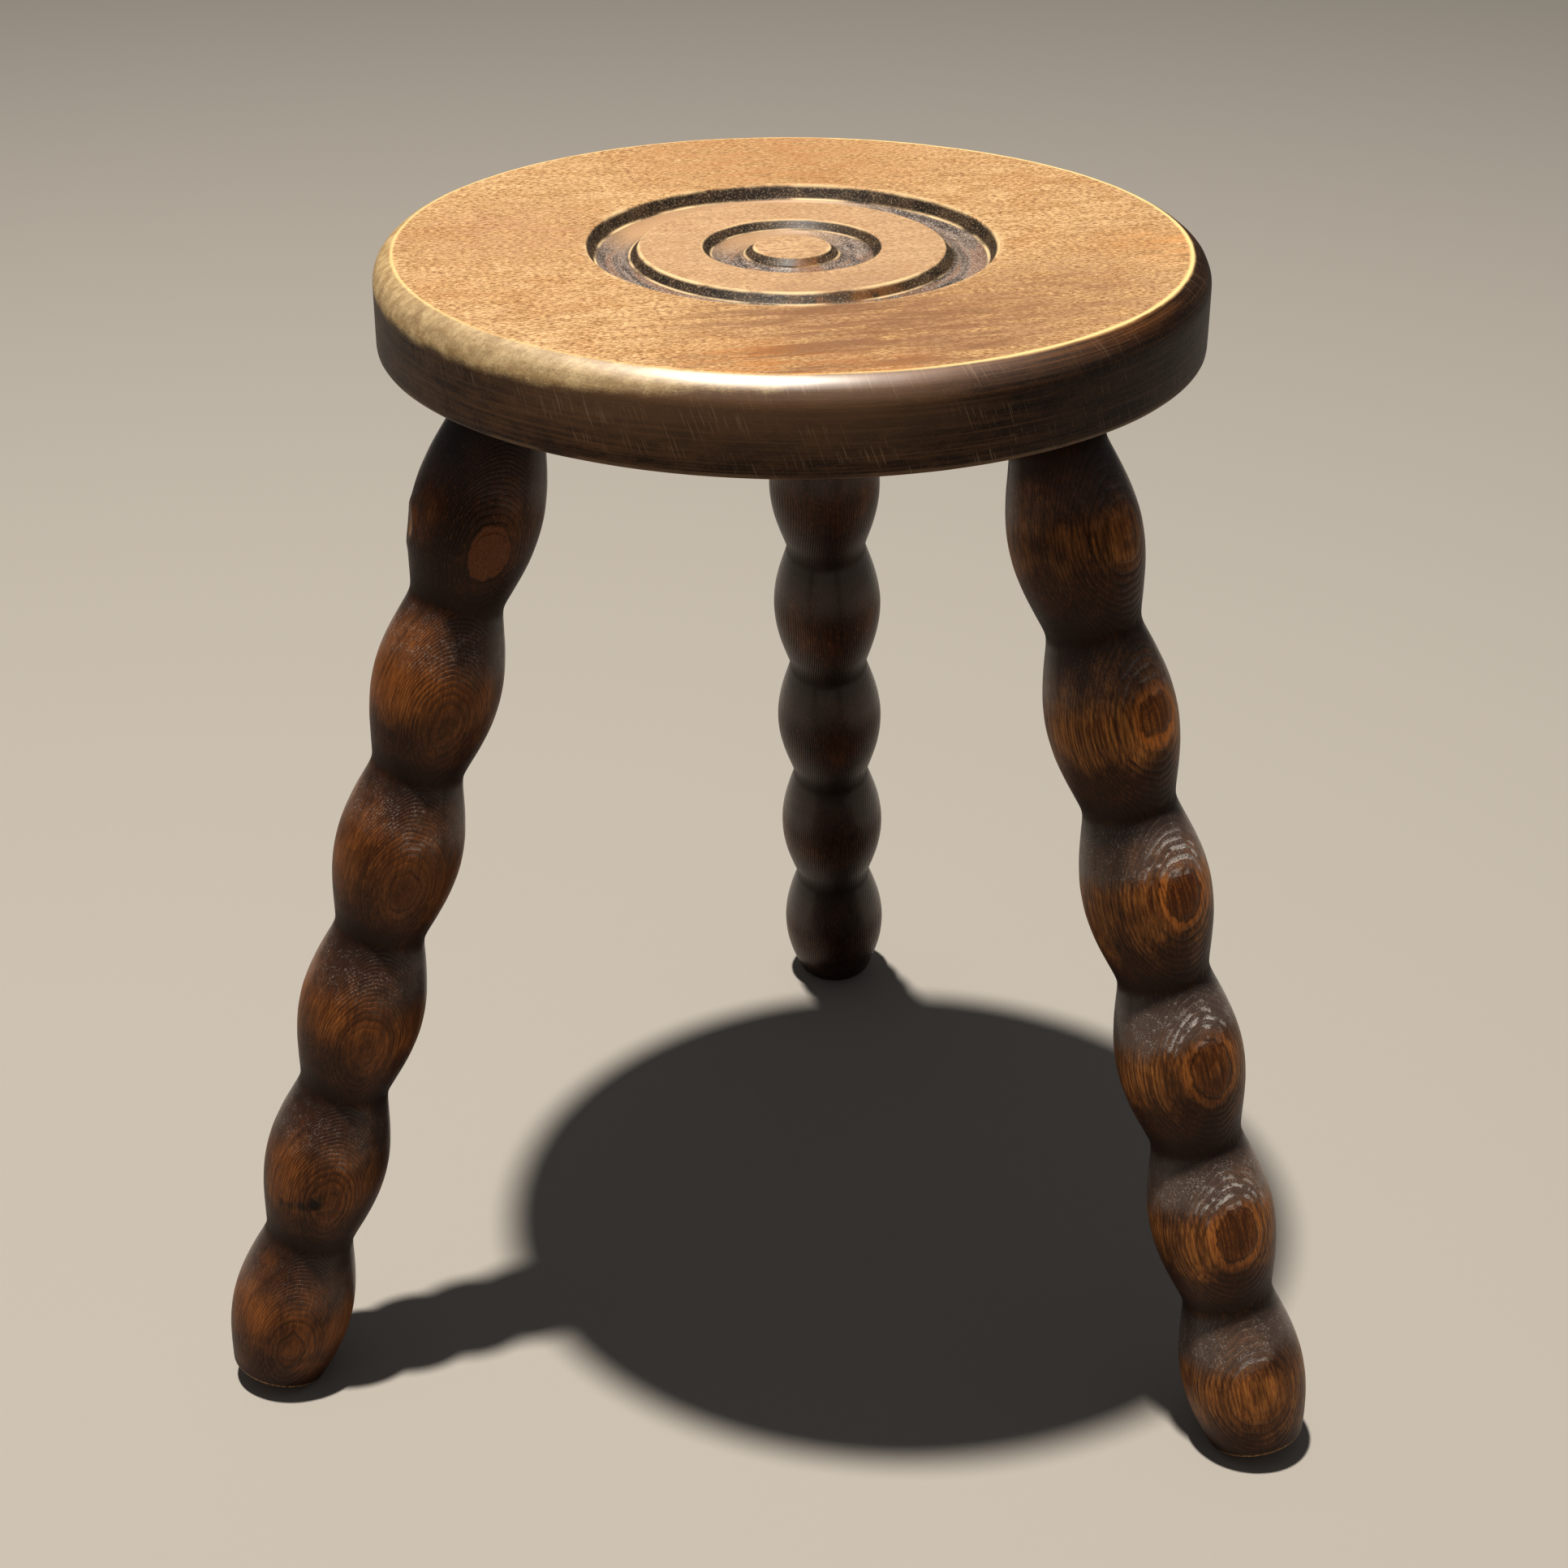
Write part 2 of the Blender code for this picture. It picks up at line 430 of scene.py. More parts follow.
class SeatWood(Tree):
    """A worn flat-sawn board, with dark stain left on its side and in its rings. Sizes in mm."""

    def __init__(self):
        super().__init__("seat_wood_worn")
        self.place = self.stretch(self.position(), scale=(MM, MM, MM))
        self.board = self.stretch(self.place, turn=(0, 0, -math.radians(SEAT_GRAIN)))
        self.x, self.y, self.z = self.parts(self.place)
        self.radius = self.length(self.x, self.y)
        self.drop = self.sub(SEAT_THICKNESS * MM, self.z)
        # angle round the seat: 0 at the front, positive to the right
        self.around = self.math("ARCTAN2", self.x, self.mul(self.y, -1.0))
        self.fleck = self.noise(self.grain(0.7, 2.0), detail=4.0, rough=0.75)
        self.grit = self.noise(self.place, 1 / 0.75, detail=2.0, rough=0.75)
        self.streak = self.noise(self.grain(4.0, 18), detail=4.0, rough=0.68)
        self.blotch = self.noise(self.place, 1 / 24, detail=3.0, rough=0.6, warp=0.4)
        flattened = self.stretch(self.place, scale=(1 / 12, 1 / 12, 1 / 5))
        self.mottle = self.noise(flattened, detail=4.0, rough=0.72)
        self.turned = self.noise(self.round_axis(2.0, 0.9), detail=4.0, rough=0.7)
        flat_edge = (SEAT_RADIUS - EDGE_WIDTH) * MM
        self.off_flat = self.step(self.radius, flat_edge - 0.1, flat_edge + 0.3)
        # keeps what is coloured by radius alone on the top, and off the underside
        self.near_top = self.step(self.drop, 9.0, 8.0)

    def grain(self, across, along, shift=(0, 0, 0)):
        """Coordinates with features drawn out along the grain."""
        return self.stretch(self.board, scale=(1 / along, 1 / across, 1 / across), shift=shift)

    def round_axis(self, turns, fine):
        """Coordinates with features drawn out round the seat's axis, as turning leaves them."""
        x = self.math("DIVIDE", self.x, self.radius)
        y = self.math("DIVIDE", self.y, self.radius)
        out = self.sub(self.radius, self.z)
        return self.join(self.mul(x, turns), self.mul(y, turns), self.mul(out, fine))

    def figure(self):
        """Growth rings of the board, as nested arches that point along the grain.

        Gives the dark lines and the broader shading between them, each from 0 to 1.
        """
        warp = self.sub(self.noise(self.grain(22, 70), detail=3.0), 0.5)
        along, across, up = self.parts(self.board)
        off = self.sub(across, 10.0)
        arch = self.add(along, self.mul(self.mul(off, off), 1 / 95))
        arch = self.add(arch, self.add(self.mul(warp, 60.0), self.mul(up, 1.5)))
        lines = ring_lines(self, arch, 26.0)
        shading = self.noise(self.join(self.mul(arch, 0.045), 0.0, 2.0), detail=3.0)
        soft = self.step(shading, 0.40, 0.66)
        clear = self.near(self.place, (45, -88, 33), 30, 84)
        faint = self.step(self.noise(self.place, 1 / 60, detail=1.0), 0.46, 0.66)
        lines = self.mul(lines, self.top(self.mul(clear, 0.7), self.mul(faint, 0.35)))
        return lines, self.mul(soft, self.add(self.mul(clear, 0.75), 0.25))

    def top_color(self):
        """Tan wood of the flat, with its pores, growth rings, wear patches and paler middle."""
        tan = self.mix(self.step(self.streak, 0.34, 0.66), srgb(186, 150, 106), srgb(218, 184, 140))
        tan = self.mix(self.mul(self.step(self.blotch, 0.45, 0.72), 0.5), tan, srgb(180, 132, 82))
        tan = self.mix(self.mul(self.step(self.fleck, 0.54, 0.36), 0.95), tan, srgb(130, 92, 58))
        tan = self.mix(self.mul(self.step(self.fleck, 0.50, 0.64), 0.75), tan, srgb(238, 204, 156))
        tan = self.mix(self.mul(self.step(self.grit, 0.56, 0.70), 0.4), tan, srgb(120, 86, 56))
        lines, soft = self.figure()
        tan = self.mix(self.mul(soft, 0.5), tan, srgb(154, 114, 82))
        tan = self.mix(self.mul(lines, 0.28), tan, srgb(118, 82, 56))
        front = self.near(self.place, (30, -100, 33), 30, 82)
        drawn = self.noise(self.grain(6.0, 55, shift=(3, 1, 2)), detail=3.0, rough=0.6)
        soiled = self.mul(front, self.step(drawn, 0.44, 0.62))
        tan = self.mix(self.mul(soiled, 0.75), tan, srgb(138, 102, 76))
        for centre, near, far, color, amount in SEAT_PATCHES:
            patch = self.near(self.place, centre, near, far)
            patch = self.mul(patch, self.step(self.streak, 0.38, 0.62))
            tan = self.mix(self.mul(patch, amount), tan, color)
        medallion = self.mul(self.step(self.radius, 56.0, 55.0), 0.4)
        return self.mix(medallion, tan, srgb(188, 160, 134))

    def scratches(self):
        """Long fine scratches, nearly upright, in patches round the front of the side."""
        lean = self.add(self.mul(self.around, SEAT_RADIUS * MM), self.mul(self.z, 0.35))
        lines = self.noise(self.join(self.mul(lean, 1.7), self.mul(self.z, 0.08), 0.0), detail=1.0)
        spots = self.join(self.mul(self.around, 4.0), self.mul(self.z, 0.07), 3.0)
        patches = self.noise(spots, detail=2.0)
        front = self.band(self.around, -0.75, 0.75, 0.3)
        amount = self.add(self.mul(front, 0.7), 0.25)
        scratched = self.mul(self.step(lines, 0.60, 0.70), self.step(patches, 0.42, 0.58))
        return self.mul(scratched, amount)

    def stain_color(self):
        """Dark stain of the side: deepest at the right, rubbed at the front, greyed at the left."""
        dark = self.mix(self.step(self.mottle, 0.34, 0.68), srgb(46, 27, 15), srgb(94, 64, 40))
        right = self.mul(self.step(self.around, 0.3, 1.0), self.step(self.around, 2.6, 1.9))
        dark = self.mix(self.mul(right, 0.75), dark, srgb(32, 18, 10))
        streaky = self.mul(self.step(self.turned, 0.46, 0.68), self.sub(0.7, self.mul(right, 0.35)))
        dark = self.mix(streaky, dark, srgb(116, 82, 54))
        dark = self.mix(self.mul(self.step(self.turned, 0.46, 0.32), 0.6), dark, srgb(30, 18, 11))
        dark = self.mix(self.mul(self.step(self.grit, 0.56, 0.74), 0.35), dark, srgb(142, 112, 84))
        front = self.mul(self.band(self.around, -0.55, 0.42, 0.2), self.step(self.drop, 32.0, 8.0))
        dark = self.mix(self.mul(front, 0.62), dark, srgb(140, 108, 80))
        dark = self.mix(self.mul(self.scratches(), 0.55), dark, srgb(172, 144, 116))
        left = self.mul(self.step(self.around, -0.5, -1.2), self.step(self.around, -2.6, -1.9))
        dark = self.mix(self.mul(left, 0.45), dark, srgb(54, 42, 33))
        return dark

    def bare(self):
        """Where the round-over is worn down to bare wood: most at the left, none at the right."""
        ragged = self.sub(self.noise(self.place, 1 / 9, detail=4.0, rough=0.65), 0.5)
        left = self.mul(self.step(self.around, 0.45, -0.75), self.step(self.around, -3.0, -2.0))
        behind = self.step(self.math("ABSOLUTE", self.around), 2.0, 2.5)
        worn = self.top(self.mul(left, 10.0), self.mul(behind, 3.2))
        fine = self.sub(self.fleck, 0.5)
        ragged = self.add(self.mul(ragged, 5.0), self.mul(fine, 3.0))
        left_over = self.sub(self.add(worn, ragged), self.drop)
        return self.mul(self.step(left_over, -2.0, 1.6), self.step(worn, 0.5, 3.0))

    def rim_color(self):
        """Side and round-over: stain, bare wood where it is worn off, and amber where it is thin."""
        dark = self.stain_color()
        beige = self.mix(self.step(self.streak, 0.35, 0.7), srgb(184, 156, 112), srgb(222, 196, 150))
        beige = self.mix(self.mul(self.step(self.mottle, 0.50, 0.72), 0.5), beige, srgb(146, 112, 76))
        beige = self.mix(self.mul(self.step(self.fleck, 0.52, 0.34), 0.4), beige, srgb(120, 90, 62))
        rim = self.mix(self.mul(self.bare(), 0.94), dark, beige)
        glow = self.mul(self.band(self.around, 0.25, 1.15, 0.2), self.step(self.drop, 7.0, 1.0))
        glow = self.mul(glow, self.step(self.turned, 0.36, 0.62))
        return self.mix(self.mul(glow, 0.6), rim, srgb(140, 92, 50))

    def rings(self):
        """1 in the two ring recesses."""
        wobble = self.mul(self.sub(self.noise(self.place, 1 / 1.5, detail=2.0), 0.5), 0.5)
        ragged = self.add(self.radius, wobble)
        both = self.top(self.band(ragged, 14.0, 32.2, 0.3), self.band(ragged, 55.3, 73.7, 0.3))
        return self.mul(both, self.near_top)

    def ring_color(self):
        """Dark walls and rubbed, greyish floors of the ring recesses.

        The near-white specks on the floors are painted glints.
        """
        wall = self.mix(self.step(self.mottle, 0.35, 0.7), srgb(40, 30, 22), srgb(86, 68, 50))
        wall = self.mix(self.mul(self.step(self.grit, 0.52, 0.66), 0.6), wall, srgb(172, 152, 126))
        lines = self.noise(self.round_axis(2.5, 0.55), detail=4.0, rough=0.7)
        floor = self.mix(self.step(lines, 0.36, 0.62), srgb(82, 72, 68), srgb(150, 132, 120))
        pink = self.noise(self.round_axis(1.6, 0.30), detail=2.0)
        floor = self.mix(self.mul(self.step(pink, 0.50, 0.64), 0.6), floor, srgb(160, 122, 98))
        # painted glints: near-white specks on the floors
        floor = self.mix(self.mul(self.step(self.grit, 0.50, 0.64), 0.6), floor, srgb(210, 202, 194))
        floor = self.mix(self.mul(self.step(self.grit, 0.46, 0.32), 0.5), floor, srgb(60, 50, 44))
        # the floors are paler towards the back
        paler_back = self.near(self.place, (-36, 58, 28), 38, 70)
        floor = self.mix(self.mul(paler_back, 0.9), floor, srgb(202, 166, 128))
        inner = self.band(self.radius, 17.4, 28.8, 0.7)
        outer = self.band(self.radius, 58.7, 70.4, 0.7)
        color = self.mix(self.mul(self.top(inner, outer), 0.9), wall, floor)
        right = self.band(self.around, 0.15, 0.8, 0.15)
        amber = self.mul(right, self.step(self.noise(self.place, 1 / 7), 0.38, 0.56))
        return self.mix(self.mul(amber, 0.55), color, srgb(150, 102, 56))

    def arris(self):
        """How bare the edge round the flat is: most at the right, least at the front."""
        off = self.math("ABSOLUTE", self.sub(self.radius, 142.6))
        width = self.add(1.0, self.mul(self.step(self.around, 0.1, 0.8), 0.5))
        wear = self.noise(self.place, 1 / 14, detail=4.0, rough=0.6)
        width = self.mul(width, self.add(0.5, wear))
        line = self.step(self.math("DIVIDE", off, width), 1.0, 0.1)
        right = self.mul(self.step(self.around, 0.1, 0.6), 0.5)
        left = self.mul(self.step(self.around, -0.6, -1.0), 0.25)
        strength = self.add(0.35, self.add(right, left))
        return self.mul(line, self.mul(strength, self.step(self.drop, 3.0, 2.0)))

    def rub_edges(self, color):
        """Pale rubbed lines along the rings' upper edges, the arris round the flat and the lower
        edge.

        Along the feet of the rings' walls the pale lines are painted highlights.
        """
        gap = self.step(self.noise(self.place, 1 / 22, detail=3.0), 0.38, 0.60)
        # rubbed pale on the upper edges, painted highlights at the feet of the walls
        for radius, half_width, amount in RING_WEAR_AND_HIGHLIGHTS:
            mark = self.mul(self.line(self.radius, radius, half_width), self.near_top)
            color = self.mix(self.mul(mark, self.mul(gap, amount)), color, srgb(238, 210, 166))
        color = self.mix(self.arris(), color, srgb(252, 218, 158))
        lower = self.mul(self.line(self.z, 1.4, 1.0), self.step(self.radius, 147, 148))
        return self.mix(self.mul(self.mul(lower, gap), 0.45), color, srgb(150, 122, 92))

    def roughness(self, stained):
        """Duller on bare wood than on the stain."""
        dull = self.add(0.30, self.mul(self.fleck, 0.26))
        dull = self.add(dull, self.mul(self.bare(), 0.12))
        return self.add(dull, self.mul(self.sub(1.0, stained), 0.14))

    def relief(self, stained, rings):
        """Bump of the pores, the turning marks and the rough ring floors."""
        height = self.add(self.mul(self.fleck, 0.6), self.mul(self.turned, self.mul(stained, 0.6)))
        height = self.add(height, self.mul(self.grit, self.mul(rings, 0.8)))
        return self.bump(height, 0.0002, 0.8)

    def polish(self, rings):
        """Wax that hands and legs have polished on the front of the round-over."""
        polished = self.mul(self.off_flat, self.step(self.drop, 9.0, 4.0))
        polished = self.mul(polished, self.band(self.around, -1.1, 0.8, 0.3))
        return self.top(polished, self.mul(rings, 0.15))

    def build(self):
        rings = self.rings()
        color = self.mix(rings, self.top_color(), self.ring_color())
        color = self.mix(self.off_flat, color, self.rim_color())
        raw = self.mix(self.step(self.streak, 0.35, 0.7), srgb(92, 66, 46), srgb(128, 94, 66))
        underside = self.step(self.z, 1.2, 0.4)
        color = self.rub_edges(self.mix(underside, color, raw))
        stained = self.top(rings, self.off_flat)
        self.shader.inputs["Specular IOR Level"].default_value = 0.19
        self.shader.inputs["Coat IOR"].default_value = 2.1
        self.shader.inputs["Coat Roughness"].default_value = 0.44
        normal = self.relief(stained, rings)
        return self.finish(color, self.roughness(stained), normal, self.polish(rings))


# ---------------------------------------------------------------- legs

def bead_radius(along):
    """Leg radius at a distance along its axis from the floor, as in the CAD."""
    wave = np.abs(np.sin(math.pi * along / BEAD_LENGTH))
    soft = WAIST_SOFTNESS
    bulge = (np.hypot(wave, soft) - soft) / (math.hypot(1.0, soft) - soft)
    return (WAIST_DIAMETER + (BEAD_DIAMETER - WAIST_DIAMETER) * bulge) / 2


def foot_cut():
    """Where the foot is sawn off, found by repeated substitution, as in the CAD."""
    along = 0.0
    for _ in range(20):
        along = (float(bead_radius(along)) * math.sin(SPLAY) - FOOT_WEAR) / math.cos(SPLAY)
    return along


def leg_outline():
    """Half section of a leg, tenon end to foot, heights along its axis from the floor."""
    tenon_top = LEG_TO_UNDERSIDE + TENON_DEPTH
    tenon_foot = LEG_TO_UNDERSIDE - TENON_RADIUS * math.tan(SPLAY)
    foot = foot_cut()
    last = BEAD_COUNT * BEAD_LENGTH
    corners = [
        (0.0, tenon_top, 0.0),
        (TENON_RADIUS, tenon_top, 0.001),
        (TENON_RADIUS, tenon_foot, 0.0),
    ]
    count = BEAD_COUNT * LEG_STEPS
    for i in range(count):
        along = last * (1 - i / count)
        if along > foot + FOOT_EDGE * 1.5:
            corners.append((float(bead_radius(along)), along, 0.0))
    corners.append((float(bead_radius(foot)), foot, FOOT_EDGE))
    corners.append((0.0, foot, 0.0))
    return fill_in(soften(corners), LONGEST_FACE)


def make_leg(name, angle, seed):
    leg = lathe(name, leg_outline(), LEG_SIDES)
    co = coordinates(leg)
    out = normals(leg)
    depth = np.minimum(unevenness(co, LEG_WAVES, seed), LEG_PROUD)
    depth[co[:, 2] > LEG_TO_UNDERSIDE - SMOOTH_NECK] = 0.0
    co = co + out * depth[:, None]
    for along, turn, radius, deep in LEG_DENTS.get(name, ()):
        here = math.radians(turn)
        reach = float(bead_radius(along))
        co = dent(co, out, (reach * math.cos(here), reach * math.sin(here), along), radius, deep)
    matrix = leg_matrix(angle)
    world = co @ np.array(matrix.to_3x3()).T + np.array(matrix.translation)
    world[:, 2] = np.maximum(world[:, 2], 0.0)          # worn flat where the foot meets the floor
    set_coordinates(leg, world)
    return leg


def pith_line(wood, span):
    """Where the pith line starts beside the leg's floor point, and its drift per mm up the leg."""
    ends = []
    for face, reach in (wood["low"], wood["high"]):
        turn = math.radians(face)
        ends.append(Vector((-reach * math.cos(turn), -reach * math.sin(turn))))
    return ends[0], (ends[1] - ends[0]) / span


def bead_crown(wood, span, bead, k):
    """Distance from the pith to the farthest point of bead k's surface, in mm."""
    start, drift = pith_line(wood, span)
    heights = np.linspace(k * bead, (k + 1) * bead, 60)
    reach = np.hypot(start.x + drift.x * heights, start.y + drift.y * heights)
    return float(np.max(reach + bead_radius(heights / MM) * MM))


class LegWood(Tree):
    """Dark walnut stain over wood whose pith line runs beside the leg. Sizes in mm.

    The line is given near the foot and near the seat, each as the direction that the surface's
    ovals face, from local +X, and the distance from the leg's axis to the pith behind them.
    """

    def __init__(self, name, angle, wood):
        super().__init__(name)
        self.name = name
        self.wood = wood
        local = self.nodes.new("ShaderNodeMapping")
        local.vector_type = "TEXTURE"
        foot, turn, _ = leg_matrix(angle).decompose()
        local.inputs["Location"].default_value = foot
        local.inputs["Rotation"].default_value = turn.to_euler("XYZ")
        self.put(local.inputs["Vector"], self.position())
        self.place = self.stretch(local.outputs[0], scale=(MM, MM, MM))
        self.x, self.y, self.z = self.parts(self.place)
        self.bead = BEAD_LENGTH * MM
        self.span = self.bead * BEAD_COUNT
        self.rise = self.math("FRACT", self.mul(self.z, 1 / self.bead))
        wave = self.math("SINE", self.mul(self.z, math.pi / self.bead))
        self.belly = self.mul(wave, wave)
        self.streak = self.drawn_out(0.8, 14, detail=3.0, rough=0.65)
        self.fleck = self.drawn_out(0.5, 2.2, detail=2.0, rough=0.6)
        self.grit = self.drawn_out(0.7, 0.7, detail=3.0, rough=0.7)
        self.blotch = self.drawn_out(20, 26, detail=3.0, rough=0.6)

    def drawn_out(self, across, along, **options):
        """Noise drawn out along the leg, different on each leg."""
        seed = self.wood["seed"]
        shift = (seed, seed * 2.3, seed * 3.1)
        scale = (1 / across, 1 / across, 1 / along)
        return self.noise(self.stretch(self.place, scale=scale, shift=shift), **options)

    def per_bead(self, values, soft=4.0):
        """A value for each bead, foot to seat, that changes over a short length at the waists."""
        total = values[-1]
        for k in range(BEAD_COUNT - 1):
            waist = self.bead * (k + 1)
            below = self.step(self.z, waist + soft, waist - soft)
            total = self.add(self.mul(below, values[k] - values[k + 1]), total)
        return total

    def from_pith(self):
        """Distance to the pith line, slightly wavy."""
        start, drift = pith_line(self.wood, self.span)
        sway = self.sub(self.drawn_out(500, 90, detail=1.0), 0.5)
        x = self.sub(self.x, self.add(self.mul(self.z, drift.x), start.x))
        y = self.sub(self.y, self.add(self.mul(self.z, drift.y), start.y))
        x = self.add(x, self.mul(sway, drift.y * 20))
        y = self.add(y, self.mul(sway, -drift.x * 20))
        ripple = self.sub(self.drawn_out(9, 22, detail=3.0), 0.5)
        return self.add(self.length(x, y), self.mul(ripple, 1.1))

    def stain(self):
        """Brown stain: thin and golden on the bellies, nearly black where it gathers.

        Painted shade darkens the lower half of each bead, the back leg and the top beads.
        """
        thin = self.add(self.mul(self.belly, 0.55), self.mul(self.sub(self.blotch, 0.5), 2.2))
        # painted shade: the lower part of each bead, which faces down, is darker
        thin = self.sub(thin, self.mul(self.step(self.rise, 0.55, 0.05), 0.25))
        # low values per bead are painted shade on the back leg and the top beads
        thin = self.add(thin, self.per_bead(self.wood["stain_and_shade"], soft=7.0))
        brown = self.mix(self.step(self.streak, 0.35, 0.65), srgb(54, 28, 15), srgb(82, 46, 25))
        gold = self.mix(self.step(self.streak, 0.36, 0.64), srgb(128, 76, 36), self.wood["gold"])
        color = self.mix(self.step(thin, 0.05, 1.0), brown, gold)
        return self.mix(self.mul(self.step(thin, 0.10, -0.50), 0.75), color, srgb(24, 12, 7))

    def grained(self, color, pith, rings):
        """The stain with broad bands, growth rings of uneven strength, and fine pores."""
        seed = self.wood["seed"]
        spacing = self.wood["spacing"]
        wide = self.noise(self.join(self.mul(pith, 0.30 / spacing), seed, 0.0), detail=2.0)
        color = self.mix(self.mul(self.step(wide, 0.50, 0.66), 0.45), color, srgb(60, 31, 16))
        strong = self.noise(self.join(self.mul(pith, 0.55 / spacing), 0.0, seed))
        strong = self.add(self.mul(self.step(strong, 0.36, 0.62), 0.8), 0.2)
        lines = self.mul(rings, self.mul(strong, self.wood["contrast"]))
        fading = self.step(self.drawn_out(7.0, 9.0, detail=2.0), 0.30, 0.60)
        lines = self.mul(lines, self.add(0.35, self.mul(fading, 0.65)))
        color = self.mix(lines, color, srgb(34, 17, 9))
        amount = self.add(0.08, self.mul(self.belly, 0.25))
        bright = self.mul(self.step(self.fleck, 0.58, 0.74), amount)
        color = self.mix(bright, color, srgb(206, 138, 74))
        return self.mix(self.mul(self.step(self.fleck, 0.42, 0.28), 0.4), color, srgb(28, 14, 8))

    def hearts(self, color, inside):
        """The middle of each oval: a core, a ring round it and a thin dark line outside that."""
        wood = self.wood
        core_edge, ring_edge = wood["heart"]
        core = self.step(inside, core_edge + 0.15, core_edge - 0.15)
        core = self.mul(core, self.per_bead(wood["cores"]))
        uneven = self.sub(self.drawn_out(5.0, 7.0, detail=2.0), 0.5)
        ring = self.band(self.add(inside, uneven), core_edge, ring_edge, 0.35)
        ring = self.mul(ring, self.per_bead(wood["halos"]))
        edge = self.mul(self.line(inside, core_edge + 0.05, 0.16), self.per_bead(wood["edges"]))
        patchy = self.step(self.drawn_out(3.0, 5.0, detail=3.0, rough=0.7), 0.30, 0.54)
        lit = self.mul(self.step(self.streak, 0.46, 0.66), 0.35)
        core_tone = self.mix(lit, wood["core_tone"], wood["halo_tone"])
        spots = self.mul(self.step(self.grit, 0.56, 0.34), 0.6)
        core_tone = self.mix(spots, core_tone, srgb(46, 23, 12))
        streaks = self.mul(self.step(self.streak, 0.56, 0.38), 0.6)
        ring_tone = self.mix(streaks, wood["halo_tone"], srgb(92, 48, 22))
        color = self.mix(self.mul(ring, patchy), color, ring_tone)
        color = self.mix(core, color, core_tone)
        return self.mix(self.mul(edge, self.add(0.3, self.mul(patchy, 0.6))), color, srgb(40, 20, 10))

    def shoulder_sheen(self, color, inside, rings):
        """Painted sheen and glints on the upper shoulders: a grey cast, near-white arcs and specks.
        """
        height = self.add(self.rise, self.mul(self.sub(self.blotch, 0.5), 0.35))
        shoulder = self.mul(self.step(height, 0.61, 0.75), self.step(self.rise, 1.0, 0.93))
        shoulder = self.mul(shoulder, self.per_bead(self.wood["shoulder_sheen"]))
        # painted sheen: the upper shoulders are greyed where they catch the lamp
        color = self.mix(self.mul(shoulder, self.wood["greyed"]), color, srgb(106, 92, 85))
        broken = self.step(self.drawn_out(4.5, 4.5, detail=2.0), 0.42, 0.56)
        arcs = self.mul(self.step(rings, 0.15, 0.70), self.step(self.grit, 0.36, 0.50))
        arcs = self.mul(arcs, self.mul(broken, self.step(inside, 5.0, 2.0)))
        specks = self.mul(self.step(self.grit, 0.54, 0.63), self.mul(broken, 0.5))
        # painted glints: near-white arcs and specks on the shoulders
        glint = self.mul(shoulder, self.top(self.mul(arcs, 0.95), specks))
        return self.mix(glint, color, srgb(208, 200, 194))

    def marked(self, color):
        """Single marks of this leg: a chip, or a knot with its crack."""
        for centre, near, far, tone, amount in LEG_MARKS.get(self.name, ()):
            mark = self.mul(self.near(self.place, centre, near, far), amount)
            color = self.mix(mark, color, tone)
        return color

    def foot(self, color):
        """A rubbed edge round the foot, and end grain under it."""
        end = foot_cut() * MM
        edge = self.mul(self.line(self.z, end + 0.7, 0.9), self.step(self.fleck, 0.40, 0.56))
        color = self.mix(self.mul(edge, 0.8), color, srgb(196, 150, 100))
        end_grain = self.mix(self.streak, srgb(60, 42, 30), srgb(112, 82, 56))
        return self.mix(self.mul(self.step(self.z, end + 0.15, end), 0.8), color, end_grain)

    def build(self):
        wood = self.wood
        pith = self.from_pith()
        rings = ring_lines(self, self.add(pith, wood["phase"]), wood["spacing"])
        crowns = []
        for k, shift in enumerate(wood["crowns"]):
            crowns.append(bead_crown(wood, self.span, self.bead, k) + shift)
        ragged = self.mul(self.sub(self.drawn_out(4.0, 6.0, detail=3.0, rough=0.65), 0.5), 0.8)
        inside = self.add(self.sub(self.per_bead(crowns, soft=0.2), pith), ragged)
        waist = self.step(self.belly, 0.20, 0.0)
        color = self.hearts(self.grained(self.stain(), pith, rings), inside)
        color = self.shoulder_sheen(color, inside, rings)
        # painted shade: the waists, the creases between the beads, are darkened
        color = self.mix(self.mul(waist, 0.6), color, srgb(32, 17, 10))
        color = self.foot(self.marked(color))

        roughness = self.add(0.22, self.mul(self.streak, 0.20))
        roughness = self.add(roughness, self.mul(waist, 0.15))
        shine = self.mul(self.step(self.rise, 0.55, 0.75), self.step(self.rise, 1.0, 0.94))
        height = self.add(self.mul(self.fleck, 0.35), self.mul(rings, -0.35))
        height = self.add(height, self.mul(self.grit, self.mul(shine, 0.6)))
        self.shader.inputs["Specular IOR Level"].default_value = 0.26
        self.shader.inputs["Specular Tint"].default_value = (1.0, 0.82, 0.68, 1.0)
        self.shader.inputs["Coat Roughness"].default_value = 0.26
        return self.finish(color, roughness, self.bump(height, 0.0004), self.mul(shine, 0.6))


# ---------------------------------------------------------------- what is where

SEAT_GRAIN = 18             # degrees anticlockwise from +X
# height, size and seed of the waves that leave a turned surface slightly uneven
SEAT_WAVES = ((0.00012, 0.035, 3.1), (0.00005, 0.009, 8.4))
LEG_WAVES = ((0.00022, 0.030, 0.0), (0.00006, 0.006, 5.0))
